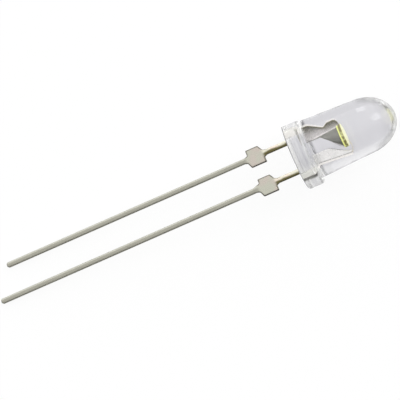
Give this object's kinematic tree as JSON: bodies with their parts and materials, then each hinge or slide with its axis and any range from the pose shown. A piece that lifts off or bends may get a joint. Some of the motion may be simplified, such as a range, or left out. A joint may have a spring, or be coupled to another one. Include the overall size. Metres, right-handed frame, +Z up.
{
  "type": "through hole led",
  "caption": "Clear round through-hole light-emitting diode with a flanged dome lens and two stamped leads with stopper tabs.",
  "frame": {"origin": "centre of the bottom of the box round the part as it lies on a table", "axes": "+X level with the table from the lead tips toward the dome, +Y toward the cathode's side, +Z up"},
  "size_m": [0.0356, 0.0056, 0.006],
  "materials": {
    "clear_epoxy": "clear, glossy",
    "tinned_cathode": "tinned, satin",
    "tinned_anode": "tinned, satin",
    "silver_glue": "matte",
    "chip": "polished",
    "yellow_phosphor": "satin",
    "gold_wire": "bright"
  },
  "bodies": {
    "root": {"epoxy_lens": "clear_epoxy", "cathode_lead": "tinned_cathode", "anode_lead": "tinned_anode", "die_attach": "silver_glue", "led_chip": "chip", "phosphor": "yellow_phosphor", "anode_bond_wire": "gold_wire", "cathode_bond_wire": "gold_wire"}
  },
  "joints": []
}
